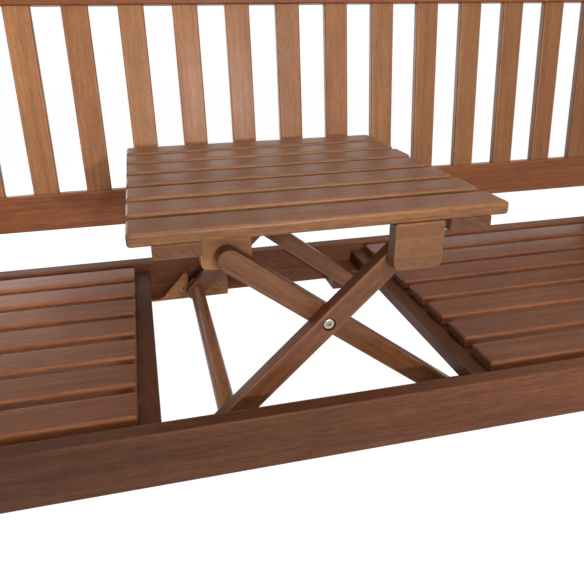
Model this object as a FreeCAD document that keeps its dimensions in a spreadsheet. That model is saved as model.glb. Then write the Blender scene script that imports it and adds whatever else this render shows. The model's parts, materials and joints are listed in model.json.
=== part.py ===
"""Three-seat slatted garden bench whose middle seat lifts into a small table on two pairs of crossed legs.

Millimetres, +Z up, the bench looks towards -Y, and the origin lies on the ground under its middle.
"""
import FreeCAD, Part
import math
import os
import types

import Sketcher

V = FreeCAD.Vector
doc = FreeCAD.newDocument("CompanionSeatBench")
sheet = doc.addObject("Spreadsheet::Sheet", "Sizes")

# Driving dimensions. Lengths are millimetres, angles are degrees.
DIMENSIONS = {
    # the whole bench
    "bench_width": 1510,
    "bench_height": 900,
    "seat_height": 435,
    "bay_width": 360,
    "well_depth": 453,
    "back_rake": 5.5,
    # legs, posts and armrests
    "leg_width": 45,
    "leg_depth": 50,
    "leg_proud": 10,
    "post_setback": 1.5,
    "arm_rise": 218,
    "arm_width": 60,
    "arm_thick": 22,
    "arm_overhang": 10,
    "arm_corner": 18,
    # seat frame
    "rail_height": 65.5,
    "apron_thick": 20.5,
    "seat_rail_thick": 25,
    "side_rail_thick": 20.5,
    "bearer_width": 45,
    "bearer_thick": 19,
    "bearer_ledge": 22,
    # slats of the seats and of the table
    "slat_count": 7,
    "slat_width": 47,
    "seat_slat_thick": 15,
    "table_slat_thick": 14,
    "slat_end_gap": 2,
    "slat_ease": 3.5,
    "board_ease": 2.5,
    # back rest
    "back_rail_thick": 23,
    "lower_rail_rise": 62,
    "lower_rail_height": 58,
    "top_rail_height": 70,
    "top_rail_drop": 4,
    "back_slat_count": 17,
    "back_slat_width": 38.5,
    "back_slat_thick": 14,
    # crossed legs
    "inner_angle": 37.25,
    "outer_angle": 43.2,
    "inner_lower": 195,
    "outer_upper": 112.6,
    "outer_lower": 155.8,
    "inner_tail": 25,
    "cross_leg_width": 26,
    "cross_leg_thick": 18,
    "leg_tail_corner": 8,
    "rod_end_reach": 17,
    "pivot_inset": 16.8,
    "pivot_drop": 51,
    "turn_play": 0.4,
    # table top
    "table_length": 388,
    "table_overreach": 106.5,
    "batten_width": 47,
    "batten_thick": 15,
    "batten_inset_left": 21.6,
    "batten_inset_right": 17,
    "batten_setback": 3,
    "ear_width": 55,
    "ear_thick": 18,
    "ear_gap": 1,
    "ear_reach": 19.4,
    "ear_above": 36.3,
    "ear_below": 15,
    "ear_corner": 5.5,
    # cleats with their notches, and the blocks at the lower pivots
    "rod_radius": 11,
    "rod_stop": 1,
    "notch_play": 0.6,
    "cleat_thick": 18,
    "cleat_peak": 52.5,
    "cleat_toe_inner": 42,
    "cleat_toe_outer": 38,
    "cleat_toe_length": 43.5,
    "cleat_tail": 25,
    "ramp_run": 47,
    "peak_round": 4,
    "block_reach": 32,
    "block_width": 60,
    # bolts and screws
    "bolt_radius": 4,
    "bolt_head_radius": 7,
    "bolt_head_thick": 4,
    "bore_play": 0.08,
    "recess_play": 0.5,
    "recess_floor": 0.3,
    "washer_radius": 9,
    "washer_thick": 3,
    "bolt_hold": 30,
    "ear_hold": 14,
    "screw_radius": 2.1,
    "screw_head_radius": 4,
    "screw_head_thick": 2.5,
    "screw_hold": 12,
    "screw_rise": 14,
    "screw_inner": 12,
    "screw_outer": 24.5,
}


class Size:
    """A number that carries the sheet formula it comes from, so that whatever is built with it stays bound."""

    def __init__(self, value, formula):
        self.value = value
        self.formula = formula

    def __add__(self, other):
        other = as_size(other)
        return Size(self.value + other.value, f"({self.formula} + {other.formula})")

    def __sub__(self, other):
        other = as_size(other)
        return Size(self.value - other.value, f"({self.formula} - {other.formula})")

    def __mul__(self, other):
        other = as_size(other)
        return Size(self.value * other.value, f"({self.formula} * {other.formula})")

    def __truediv__(self, other):
        other = as_size(other)
        return Size(self.value / other.value, f"({self.formula} / {other.formula})")

    def __neg__(self):
        return Size(-self.value, f"(0 - {self.formula})")


def as_size(item):
    """A plain number as a size; a size stays what it is."""
    if isinstance(item, Size):
        return item
    return Size(float(item), repr(float(item)))


def sine(angle):
    return Size(math.sin(math.radians(angle.value)), f"sin({angle.formula} * 1 deg)")


def cosine(angle):
    return Size(math.cos(math.radians(angle.value)), f"cos({angle.formula} * 1 deg)")


def tangent(angle):
    return Size(math.tan(math.radians(angle.value)), f"tan({angle.formula} * 1 deg)")


for row, (alias, number) in enumerate(DIMENSIONS.items(), 1):
    sheet.set(f"A{row}", alias)
    sheet.set(f"B{row}", str(number))
    sheet.setAlias(f"B{row}", alias)
doc.recompute()
s = types.SimpleNamespace(**{alias: Size(float(number), f"Sizes.{alias}") for alias, number in DIMENSIONS.items()})

ZERO = as_size(0)
SAME_PLACE = 0.01
nodes = []

# Places that several pieces share. Depths are measured back from the apron's front face until `deep` sets them.
slat_gap = (s.well_depth - s.slat_width * s.slat_count) / (s.slat_count + 1)
slat_pitch = s.slat_width + slat_gap
slat_field = slat_pitch * (s.slat_count - 1) + s.slat_width
rear_rail_front = s.apron_thick + s.well_depth
post_front = rear_rail_front + s.post_setback
post_lean = (s.bench_height - s.seat_height) * tangent(s.back_rake)
bench_front = -(s.leg_proud + s.arm_overhang)
bench_back = post_front + s.leg_depth + post_lean
bench_middle = (bench_front + bench_back) / 2
well_middle = s.apron_thick + s.well_depth / 2
inner_half = s.bench_width / 2 - s.leg_width
bay_half = s.bay_width / 2
frame_bottom = s.seat_height - s.rail_height
bearer_top = s.seat_height - s.seat_slat_thick
bearer_bottom = bearer_top - s.bearer_thick

# The linkage: a fixed pivot low on the right, a crossing bolt, a pivot under the table and the rod low on the left.
pivot_x = bay_half - s.pivot_inset
pivot_z = s.seat_height - s.pivot_drop
crossing_x = pivot_x - s.inner_lower * cosine(s.inner_angle)
crossing_z = pivot_z + s.inner_lower * sine(s.inner_angle)
upper_x = crossing_x + s.outer_upper * cosine(s.outer_angle)
upper_z = crossing_z + s.outer_upper * sine(s.outer_angle)
rod_x = crossing_x - s.outer_lower * cosine(s.outer_angle)
rod_z = crossing_z - s.outer_lower * sine(s.outer_angle)
inner_upper = s.outer_upper * sine(s.outer_angle) / sine(s.inner_angle)

# The table stands on its ears, and the crossed legs lie one behind another from its front edge inwards.
slat_front = s.apron_thick + slat_gap
table_bottom = upper_z + s.ear_above
table_right = upper_x + s.table_overreach
table_left = table_right - s.table_length
right_batten_x = table_right - s.batten_inset_right - s.batten_width
left_batten_x = table_left + s.batten_inset_left
outer_leg_front = slat_front + s.ear_thick + s.turn_play
inner_leg_front = outer_leg_front + s.cross_leg_thick + s.turn_play
left_ear_front = inner_leg_front + s.cross_leg_thick + s.turn_play


def deep(depth):
    """The row's Y of a depth behind the apron's front face."""
    return depth - bench_middle


def mirrored(depth, thickness, rear):
    """The near face of a piece of the front leg pair, or of its twin in the rear pair."""
    if rear:
        return deep(well_middle * 2 - depth - thickness)
    return deep(depth)


def bind(feature, **sizes):
    """Tie a feature's sizes to the sheet."""
    for name, size in sizes.items():
        feature.setExpression(name, as_size(size).formula)


def place(thing, x, y, z):
    for axis, size in (("x", x), ("y", y), ("z", z)):
        thing.setExpression(f"Placement.Base.{axis}", as_size(size).formula)


def turn(thing, axis, angle):
    """Turn a piece about an axis through its own origin; positive follows the right hand."""
    thing.Placement = FreeCAD.Placement(V(), FreeCAD.Rotation(axis, 0 if angle.value == 0 else 1))
    thing.setExpression("Placement.Rotation.Angle", angle.formula)


def new_body(label):
    body = doc.addObject("PartDesign::Body", label)
    body.Label = label
    return body


def add(body, kind, name):
    """Put the next feature into a body and make it the one that the body shows."""
    feature = body.newObject(f"PartDesign::{kind}", f"{body.Name}_{name}")
    body.Tip = feature
    return feature


# Each plane's sketch runs along its first two row axes, and a pad grows the third way, reversed where needed.
GROWTH = {
    "XY_Plane": (V(0, 0, 1), False),
    "XZ_Plane": (V(0, 1, 0), True),
    "YZ_Plane": (V(1, 0, 0), False),
}


def in_space(plane, u, v):
    """A point of a plane's sketch as a point of the body."""
    return {"XY_Plane": V(u, v, 0), "XZ_Plane": V(u, 0, v), "YZ_Plane": V(0, u, v)}[plane]


def prism(label, plane, outline, length):
    """A body whose outline is a sketch of straight lines, each corner tied to the sheet, padded to a length."""
    body = new_body(label)
    sketch = body.newObject("Sketcher::SketchObject", f"{body.Name}_outline")
    origin_plane = next(item for item in body.Origin.OriginFeatures if item.Role == plane)
    sketch.AttachmentSupport = (origin_plane, "")
    sketch.MapMode = "FlatFace"
    corners = [V(as_size(u).value, as_size(v).value, 0) for u, v in outline]
    count = len(corners)
    for index in range(count):
        sketch.addGeometry(Part.LineSegment(corners[index], corners[(index + 1) % count]), False)
    for index in range(count):
        sketch.addConstraint(Sketcher.Constraint("Coincident", index, 2, (index + 1) % count, 1))
    for index, corner in enumerate(outline):
        for kind, size in zip(("DistanceX", "DistanceY"), corner):
            size = as_size(size)
            tie = sketch.addConstraint(Sketcher.Constraint(kind, -1, 1, index, 1, size.value))
            sketch.setExpression(f"Constraints[{tie}]", size.formula)
    pad = add(body, "Pad", "pad")
    pad.Profile = sketch
    pad.Reversed = GROWTH[plane][1]
    bind(pad, Length=length)
    doc.recompute()
    return body


def edges_along(body, direction):
    """Names of the body's straight edges that run along a direction."""
    names = []
    for index, edge in enumerate(body.Shape.Edges, 1):
        straight = edge.Curve.TypeId == "Part::GeomLine"
        if straight and abs(edge.Curve.Direction.dot(direction)) > 0.999:
            names.append(f"Edge{index}")
    return names


def corner_edges(body, plane, outline, chosen):
    """Names of the edges that rise from chosen corners of the outline."""
    direction = GROWTH[plane][0]
    names = []
    for name in edges_along(body, direction):
        edge = body.Shape.getElement(name)
        for index in chosen:
            corner = in_space(plane, as_size(outline[index][0]).value, as_size(outline[index][1]).value)
            offset = edge.Vertexes[0].Point - corner
            if (offset - direction * offset.dot(direction)).Length < SAME_PLACE:
                names.append(name)
    return names


def round_off(body, edges, radius, name="ease"):
    """Round the named edges of a body with one radius."""
    worked = body.Tip
    fillet = add(body, "Fillet", name)
    fillet.Base = (worked, edges)
    bind(fillet, Radius=radius)
    doc.recompute()


def bevel(body, edges, width):
    """Cut the named edges of a body back at 45 degrees."""
    worked = body.Tip
    chamfer = add(body, "Chamfer", "bevel")
    chamfer.Base = (worked, edges)
    bind(chamfer, Size=width)
    doc.recompute()


def rectangle(u0, v0, u1, v1):
    return [(u0, v0), (u1, v0), (u1, v1), (u0, v1)]


def board(label, plane, wide, high, length):
    """A planed board of rectangular section with its four long edges bevelled."""
    body = prism(label, plane, rectangle(ZERO, ZERO, wide, high), length)
    bevel(body, edges_along(body, GROWTH[plane][0]), s.board_ease)
    nodes.append(body)
    return body


def slat(label, thick, length):
    """A slat along X whose two upper edges are rounded for the sitter."""
    outline = rectangle(ZERO, ZERO, s.slat_width, thick)
    body = prism(label, "YZ_Plane", outline, length)
    round_off(body, corner_edges(body, "YZ_Plane", outline, [2, 3]), s.slat_ease)
    nodes.append(body)
    return body


def drill(body, name, radius, near, depth, x, z):
    """A round hole along Y through or into a body, from the depth `near`, at x and z of the body."""
    before = body.Shape.Volume
    hole = add(body, "SubtractiveCylinder", name)
    bind(hole, Radius=radius, Height=depth)
    hole.Placement = FreeCAD.Placement(V(), FreeCAD.Rotation(V(1, 0, 0), -90))
    place(hole, x, near, z)
    doc.recompute()
    if body.Shape.Volume >= before:
        raise RuntimeError(f"{hole.Name} cuts nothing")


def cylinder(name, radius, length, x, y, z):
    """A round bar along Y, from y backwards."""
    bar = doc.addObject("Part::Cylinder", name)
    bind(bar, Radius=radius, Height=length)
    bar.Placement = FreeCAD.Placement(V(), FreeCAD.Rotation(V(1, 0, 0), -90))
    place(bar, x, y, z)
    return bar


def fused(name, pieces):
    """One solid made of overlapping pieces."""
    whole = doc.addObject("Part::MultiFuse", name)
    whole.Shapes = pieces
    whole.Refine = True
    return whole


def grouped(label, pieces):
    """Separate solids of one kind that share a node."""
    group = doc.addObject("Part::Compound", label)
    group.Label = label
    group.Links = pieces
    nodes.append(group)
    return group


def make_seat_rails():
    """Front apron and rear rail between the legs, with the slats level with their top edges."""
    length = inner_half * 2
    apron = board("front_apron", "YZ_Plane", s.apron_thick, s.rail_height, length)
    place(apron, -inner_half, deep(ZERO), frame_bottom)
    rail = board("rear_seat_rail", "YZ_Plane", s.seat_rail_thick, s.rail_height, length)
    place(rail, -inner_half, deep(rear_rail_front), frame_bottom)
    return apron, rail


def make_bearers():
    """Four boards from apron to rear rail: the inner two edge the bay and leave a ledge for the folded table."""
    outer_start = inner_half - s.bearer_width
    starts = {
        "outer_bearer_left": -inner_half,
        "inner_bearer_left": -(bay_half + s.bearer_width),
        "inner_bearer_right": bay_half,
        "outer_bearer_right": outer_start,
    }
    for label, x in starts.items():
        bearer = prism(label, "XZ_Plane", rectangle(ZERO, ZERO, s.bearer_width, s.bearer_thick), s.well_depth)
        place(bearer, x, deep(s.apron_thick), bearer_bottom)
        nodes.append(bearer)


def make_seat_slats():
    """Slats of the two fixed seats, from the side rail to halfway over the inner bearer."""
    inner_end = bay_half + s.bearer_ledge
    length = inner_half - s.slat_end_gap - inner_end
    for side, x in (("left", -(inner_end + length)), ("right", inner_end)):
        for index in range(DIMENSIONS["slat_count"]):
            seat_slat = slat(f"seat_slat_{side}_{index + 1}", s.seat_slat_thick, length)
            place(seat_slat, x, deep(slat_front + slat_pitch * index), bearer_top)


def make_ends():
    """Front legs, side rails and armrests; the armrest's rear end is cut to the lean of the post."""
    arm_top = s.seat_height + s.arm_rise
    arm_bottom = arm_top - s.arm_thick
    lean_low = (arm_bottom - s.seat_height) * tangent(s.back_rake)
    lean_high = (arm_top - s.seat_height) * tangent(s.back_rake)
    arm_outline = [
        (bench_front, ZERO),
        (post_front + lean_low, ZERO),
        (post_front + lean_high, s.arm_thick),
        (bench_front, s.arm_thick),
    ]
    side_rail_length = post_front + s.leg_proud - s.leg_depth
    for side, outward in (("left", -1), ("right", 1)):
        leg = board(f"front_leg_{side}", "XY_Plane", s.leg_width, s.leg_depth, arm_bottom)
        leg_x = inner_half if outward > 0 else -(inner_half + s.leg_width)
        place(leg, leg_x, deep(-s.leg_proud), ZERO)
        section = (s.side_rail_thick, s.rail_height)
        rail = board(f"side_rail_{side}", "XZ_Plane", *section, side_rail_length)
        rail_x = inner_half if outward > 0 else -(inner_half + s.side_rail_thick)
        place(rail, rail_x, deep(s.leg_depth - s.leg_proud), frame_bottom)
        arm = prism(f"armrest_{side}", "YZ_Plane", arm_outline, s.arm_width)
        front_corners = edges_along(arm, V(0, 0, 1))
        front_corners = [name for name in front_corners if arm.Shape.getElement(name).Vertexes[0].Y < 0]
        round_off(arm, front_corners, s.arm_corner, "nose")
        top_face = max(arm.Shape.Faces, key=lambda face: face.CenterOfMass.z)
        rim = [edge for edge in top_face.Edges if edge.CenterOfMass.y < as_size(post_front).value]
        rim_names = [f"Edge{i}" for i, edge in enumerate(arm.Shape.Edges, 1) if any(edge.isSame(r) for r in rim)]
        round_off(arm, rim_names, s.slat_ease)
        arm_x = s.bench_width / 2 - s.arm_width if outward > 0 else -(s.bench_width / 2)
        place(arm, arm_x, -bench_middle, arm_bottom)
        nodes.append(arm)


def make_posts():
    """Rear posts: upright to the seat, then leaning back, cut from one board."""
    outline = [
        (ZERO, ZERO),
        (s.leg_depth, ZERO),
        (s.leg_depth, s.seat_height),
        (s.leg_depth + post_lean, s.bench_height),
        (post_lean, s.bench_height),
        (ZERO, s.seat_height),
    ]
    for side, x in (("left", -(inner_half + s.leg_width)), ("right", inner_half)):
        post = prism(f"rear_post_{side}", "YZ_Plane", outline, s.leg_width)
        bevel(post, corner_edges(post, "YZ_Plane", outline, [4]), s.board_ease)
        place(post, x, deep(post_front), ZERO)
        nodes.append(post)


def make_back():
    """Two back rails and the upright slats between them, all leaning with the posts."""
    along = cosine(s.back_rake)
    low = s.lower_rail_rise / along
    high = (s.bench_height - s.seat_height - s.top_rail_drop) / along
    bend_y = deep(post_front + s.leg_depth / 2)
    rails = (
        ("back_lower_rail", low, s.lower_rail_height),
        ("back_top_rail", high - s.top_rail_height, s.top_rail_height),
    )
    half = s.back_rail_thick / 2
    for label, start, height in rails:
        outline = rectangle(-half, start, half, start + height)
        rail = prism(label, "YZ_Plane", outline, inner_half * 2)
        bevel(rail, edges_along(rail, V(1, 0, 0)), s.board_ease)
        turn(rail, V(1, 0, 0), -s.back_rake)
        place(rail, -inner_half, bend_y, s.seat_height)
        nodes.append(rail)
    gap = (inner_half * 2 - s.back_slat_width * s.back_slat_count) / (s.back_slat_count + 1)
    start = low + s.lower_rail_height
    length = high - s.top_rail_height - start
    uprights = []
    for index in range(DIMENSIONS["back_slat_count"]):
        thick = s.back_slat_thick
        outline = rectangle(ZERO, -(thick / 2), s.back_slat_width, thick / 2)
        upright = prism(f"back_slat_{index + 1}", "XY_Plane", outline, length)
        bevel(upright, edges_along(upright, V(0, 0, 1)), s.board_ease)
        turn(upright, V(1, 0, 0), -s.back_rake)
        foot_y = bend_y + start * sine(s.back_rake)
        foot_z = s.seat_height + start * along
        place(upright, -inner_half + gap + (s.back_slat_width + gap) * index, foot_y, foot_z)
        uprights.append(upright)
    grouped("back_slats", uprights)


def make_table_top():
    """Seven slats on two battens, with an ear block beside each batten near the front and the rear edge."""
    for index in range(DIMENSIONS["slat_count"]):
        top_slat = slat(f"table_slat_{index + 1}", s.table_slat_thick, s.table_length)
        place(top_slat, table_left, deep(slat_front + slat_pitch * index), table_bottom)
    batten_length = slat_field - s.batten_setback * 2
    for label, x in (("table_batten_left", left_batten_x), ("table_batten_right", right_batten_x)):
        outline = rectangle(ZERO, ZERO, s.batten_width, s.batten_thick)
        batten = prism(label, "XZ_Plane", outline, batten_length)
        bevel(batten, corner_edges(batten, "XZ_Plane", outline, [0, 1]), s.board_ease)
        place(batten, x, deep(slat_front + s.batten_setback), table_bottom - s.batten_thick)
        nodes.append(batten)


def make_ears():
    """Blocks under the table; the right pair carries the outer legs' upper bolts, the left pair flanks the inner."""
    height = s.ear_above + s.ear_below
    outline = [
        (s.ear_corner, ZERO),
        (s.ear_width - s.ear_corner, ZERO),
        (s.ear_width, s.ear_corner),
        (s.ear_width, height),
        (ZERO, height),
        (ZERO, s.ear_corner),
    ]
    right_x = upper_x - s.ear_reach
    left_x = left_batten_x + s.batten_width + s.ear_gap
    for end, rear in (("front", False), ("rear", True)):
        right = prism(f"right_ear_{end}", "XZ_Plane", outline, s.ear_thick)
        near = ZERO if rear else s.ear_thick - s.ear_hold
        drill(right, "bolt_hole", s.bolt_radius + s.bore_play, near, s.ear_hold, upper_x - right_x, s.ear_below)
        place(right, right_x, mirrored(slat_front, s.ear_thick, rear), table_bottom - height)
        left = prism(f"left_ear_{end}", "XZ_Plane", outline, s.ear_thick)
        place(left, left_x, mirrored(left_ear_front, s.ear_thick, rear), table_bottom - height)
        nodes.extend((right, left))


def add_round_end(body, name, radius, x):
    """The full round end of a leg, about its bore."""
    end = add(body, "AdditiveCylinder", name)
    bind(end, Radius=radius, Height=s.cross_leg_thick)
    end.Placement = FreeCAD.Placement(V(), FreeCAD.Rotation(V(1, 0, 0), -90))
    place(end, x, ZERO, ZERO)
    doc.recompute()


def make_inner_legs():
    """Inner legs, from the lower right pivot up to the left ear; a squared tail runs on past the pivot."""
    half = s.cross_leg_width / 2
    tail = s.inner_lower + s.inner_tail
    outline = rectangle(-inner_upper, -half, tail, half)
    recess = s.bolt_head_thick
    for end, rear in (("front", False), ("rear", True)):
        leg = prism(f"inner_leg_{end}", "XZ_Plane", outline, s.cross_leg_thick)
        round_off(leg, corner_edges(leg, "XZ_Plane", outline, [1, 2]), s.leg_tail_corner)
        add_round_end(leg, "upper_end", half, -inner_upper)
        drill(leg, "crossing_bore", s.bolt_radius + s.bore_play, ZERO, s.cross_leg_thick, ZERO, ZERO)
        drill(leg, "pivot_bore", s.bolt_radius + s.bore_play, ZERO, s.cross_leg_thick, s.inner_lower, ZERO)
        near = ZERO if rear else s.cross_leg_thick - recess
        drill(leg, "nut_recess", s.bolt_head_radius + s.recess_play, near, recess, ZERO, ZERO)
        turn(leg, V(0, 1, 0), s.inner_angle)
        place(leg, crossing_x, mirrored(inner_leg_front, s.cross_leg_thick, rear), crossing_z)
        nodes.append(leg)


def make_outer_legs():
    """Outer legs, from the rod on the left up to the right ear, bored for the rod and recessed for bolt heads."""
    half = s.cross_leg_width / 2
    outline = rectangle(-(s.outer_lower + s.rod_end_reach), -half, s.outer_upper, half)
    recess = s.bolt_head_thick + s.recess_floor
    head_bore = s.bolt_head_radius + s.recess_play
    for end, rear in (("front", False), ("rear", True)):
        leg = prism(f"outer_leg_{end}", "XZ_Plane", outline, s.cross_leg_thick)
        round_off(leg, corner_edges(leg, "XZ_Plane", outline, [0, 3]), s.leg_tail_corner)
        add_round_end(leg, "upper_end", half, s.outer_upper)
        drill(leg, "crossing_bore", s.bolt_radius + s.bore_play, ZERO, s.cross_leg_thick, ZERO, ZERO)
        drill(leg, "upper_bore", s.bolt_radius + s.bore_play, ZERO, s.cross_leg_thick, s.outer_upper, ZERO)
        drill(leg, "rod_bore", s.rod_radius, ZERO, s.cross_leg_thick, -s.outer_lower, ZERO)
        outer_near = s.cross_leg_thick - recess if rear else ZERO
        inner_near = ZERO if rear else s.cross_leg_thick - recess
        drill(leg, "crossing_recess", head_bore, outer_near, recess, ZERO, ZERO)
        drill(leg, "upper_recess", head_bore, inner_near, recess, s.outer_upper, ZERO)
        turn(leg, V(0, 1, 0), -s.outer_angle)
        place(leg, crossing_x, mirrored(outer_leg_front, s.cross_leg_thick, rear), crossing_z)
        nodes.append(leg)


def make_cross_rod():
    """Round rod through the lower ends of the outer legs, which drops into the notches of the cleats."""
    cleat_face = s.apron_thick + s.cleat_thick
    length = (well_middle - cleat_face - s.rod_stop) * 2
    rod = cylinder("cross_rod", s.rod_radius, length, rod_x, deep(cleat_face + s.rod_stop), rod_z)
    nodes.append(rod)


def make_cleats():
    """Notched cleats on the apron and the rear rail: a tail, a ramp up to a peak, the notch and a low toe."""
    wall = rod_x - s.rod_radius - s.notch_play
    far_wall = rod_x + s.rod_radius + s.notch_play
    floor = rod_z - s.rod_radius - frame_bottom
    folded_floor = pivot_z - s.rod_radius - frame_bottom
    start = -(bay_half + s.cleat_tail)
    stop = far_wall + s.cleat_toe_length
    outline = [
        (ZERO, ZERO),
        (stop - start, ZERO),
        (stop - start, s.cleat_toe_outer),
        (far_wall - start, s.cleat_toe_inner),
        (far_wall - start, floor),
        (wall - start, floor),
        (wall - start, s.cleat_peak),
        (wall - start - s.ramp_run, folded_floor),
        (ZERO, folded_floor),
    ]
    screw_xs = (wall - start - s.screw_inner, far_wall - start + s.screw_outer)
    for end, rear in (("front", False), ("rear", True)):
        cleat = prism(f"cleat_{end}", "XZ_Plane", outline, s.cleat_thick)
        round_off(cleat, corner_edges(cleat, "XZ_Plane", outline, [2, 3, 6]), s.peak_round)
        for index, x in enumerate(screw_xs, 1):
            near = ZERO if rear else s.cleat_thick - s.screw_head_thick
            bore = s.screw_radius + s.bore_play
            drill(cleat, f"screw_bore_{index}", bore, ZERO, s.cleat_thick, x, s.screw_rise)
            head = s.screw_head_radius + s.bore_play
            drill(cleat, f"screw_recess_{index}", head, near, s.screw_head_thick, x, s.screw_rise)
        place(cleat, start, mirrored(s.apron_thick, s.cleat_thick, rear), frame_bottom)
        nodes.append(cleat)
    return [start + x for x in screw_xs]


def make_cleat_screws(screw_xs, apron, rail):
    """Two screws hold each cleat, their heads sunk in its face."""
    screws = []
    length = s.cleat_thick - s.screw_head_thick + s.screw_hold
    z = frame_bottom + s.screw_rise
    for end, rear in (("front", False), ("rear", True)):
        board_body = rail if rear else apron
        hole_near = ZERO if rear else s.apron_thick - s.screw_hold
        for index, x in enumerate(screw_xs, 1):
            bore = s.screw_radius + s.bore_play
            drill(board_body, f"screw_hole_{index}", bore, hole_near, s.screw_hold, x + inner_half, s.screw_rise)
            shank_y = mirrored(s.apron_thick - s.screw_hold, length, rear)
            head_y = mirrored(s.apron_thick + s.cleat_thick - s.screw_head_thick, s.screw_head_thick, rear)
            shank = cylinder(f"screw_shank_{end}_{index}", s.screw_radius, length, x, shank_y, z)
            head_size = (s.screw_head_radius, s.screw_head_thick)
            head = cylinder(f"screw_head_{end}_{index}", *head_size, x, head_y, z)
            screws.append(fused(f"cleat_screw_{end}_{index}", [shank, head]))
    grouped("cleat_screws", screws)


def make_pivot_blocks():
    """Blocks under the right bearer that carry the inner legs' lower bolts; a washer keeps the leg off each."""
    thick = inner_leg_front - s.turn_play - s.washer_thick - s.apron_thick
    height = bearer_bottom - frame_bottom
    start = pivot_x - s.block_reach
    outline = rectangle(ZERO, ZERO, s.block_width, height)
    for end, rear in (("front", False), ("rear", True)):
        block = prism(f"pivot_block_{end}", "XZ_Plane", outline, thick)
        near = ZERO if rear else thick - s.bolt_hold
        bore = s.bolt_radius + s.bore_play
        drill(block, "bolt_hole", bore, near, s.bolt_hold, s.block_reach, pivot_z - frame_bottom)
        place(block, start, mirrored(s.apron_thick, thick, rear), frame_bottom)
        nodes.append(block)


def bolt(name, x, z, shank_from, shank_to, head_from, rear):
    """A bolt along Y with a low round head, given by depths in the front leg pair."""
    length = shank_to - shank_from
    shank = cylinder(f"{name}_shank", s.bolt_radius, length, x, mirrored(shank_from, length, rear), z)
    head_y = mirrored(head_from, s.bolt_head_thick, rear)
    head = cylinder(f"{name}_head", s.bolt_head_radius, s.bolt_head_thick, x, head_y, z)
    return fused(name, [shank, head])


def make_bolts():
    """Bolts of the three pivots: heads sunk where another leg passes, washers beside the lower blocks."""
    crossing, upper, lower = [], [], []
    for end, rear in (("front", False), ("rear", True)):
        inner_back = inner_leg_front + s.cross_leg_thick
        outer_back = outer_leg_front + s.cross_leg_thick
        nut_y = mirrored(inner_back - s.bolt_head_thick, s.bolt_head_thick, rear)
        body = bolt(f"crossing_{end}", crossing_x, crossing_z, outer_leg_front, inner_back, outer_leg_front, rear)
        nut_size = (s.bolt_head_radius, s.bolt_head_thick)
        nut = cylinder(f"crossing_nut_{end}", *nut_size, crossing_x, nut_y, crossing_z)
        crossing.append(fused(f"crossing_bolt_{end}", [body, nut]))
        ear_stop = slat_front + s.ear_thick - s.ear_hold
        head = outer_back - s.bolt_head_thick
        upper.append(bolt(f"upper_bolt_{end}", upper_x, upper_z, ear_stop, outer_back, head, rear))
        washer_front = inner_leg_front - s.turn_play - s.washer_thick
        head = inner_back + s.turn_play
        shank = (washer_front - s.bolt_hold, head + s.bolt_head_thick)
        lower.append(bolt(f"lower_bolt_{end}", pivot_x, pivot_z, *shank, head, rear))
        washer_y = mirrored(washer_front, s.washer_thick, rear)
        disc = cylinder(f"washer_disc_{end}", s.washer_radius, s.washer_thick, pivot_x, washer_y, pivot_z)
        hole_radius = s.bolt_radius + s.bore_play
        hole = cylinder(f"washer_hole_{end}", hole_radius, s.washer_thick, pivot_x, washer_y, pivot_z)
        washer = doc.addObject("Part::Cut", f"washer_{end}")
        washer.Base = disc
        washer.Tool = hole
        lower.append(washer)
    grouped("crossing_bolts", crossing)
    grouped("upper_pivot_bolts", upper)
    grouped("lower_pivot_bolts", lower)


def check_and_write():
    """Stop on any failed or open piece, then write one file for each node."""
    doc.recompute()
    for item in doc.Objects:
        if "Invalid" in item.State or "Error" in item.State:
            raise RuntimeError(f"{item.Name} failed: {item.State}")
    os.makedirs("parts", exist_ok=True)
    for node in nodes:
        if node.Shape.isNull() or not node.Shape.isValid() or not node.Shape.Solids:
            raise RuntimeError(f"{node.Label} has no sound shape")
        node.Shape.exportStep(f"parts/{node.Label}.step")
    whole = Part.makeCompound([node.Shape for node in nodes]).BoundBox
    print(f"{len(nodes)} nodes, X {whole.XMin:.2f} {whole.XMax:.2f}, Y {whole.YMin:.2f} {whole.YMax:.2f},"
          f" Z {whole.ZMin:.2f} {whole.ZMax:.2f}")
    for name, x, z in (("lower", pivot_x, pivot_z), ("crossing", crossing_x, crossing_z),
                       ("upper", upper_x, upper_z), ("rod", rod_x, rod_z)):
        print(f"{name} axis at X {x.value:.4f}, Z {z.value:.4f}")


front_apron, rear_seat_rail = make_seat_rails()
make_bearers()
make_seat_slats()
make_ends()
make_posts()
make_back()
make_table_top()
make_ears()
make_inner_legs()
make_outer_legs()
make_cross_rod()
make_pivot_blocks()
make_cleat_screws(make_cleats(), front_apron, rear_seat_rail)
make_bolts()
check_and_write()
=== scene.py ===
"""Slatted hardwood bench for three whose middle seat is raised on crossed legs as a small table."""
import json

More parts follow.
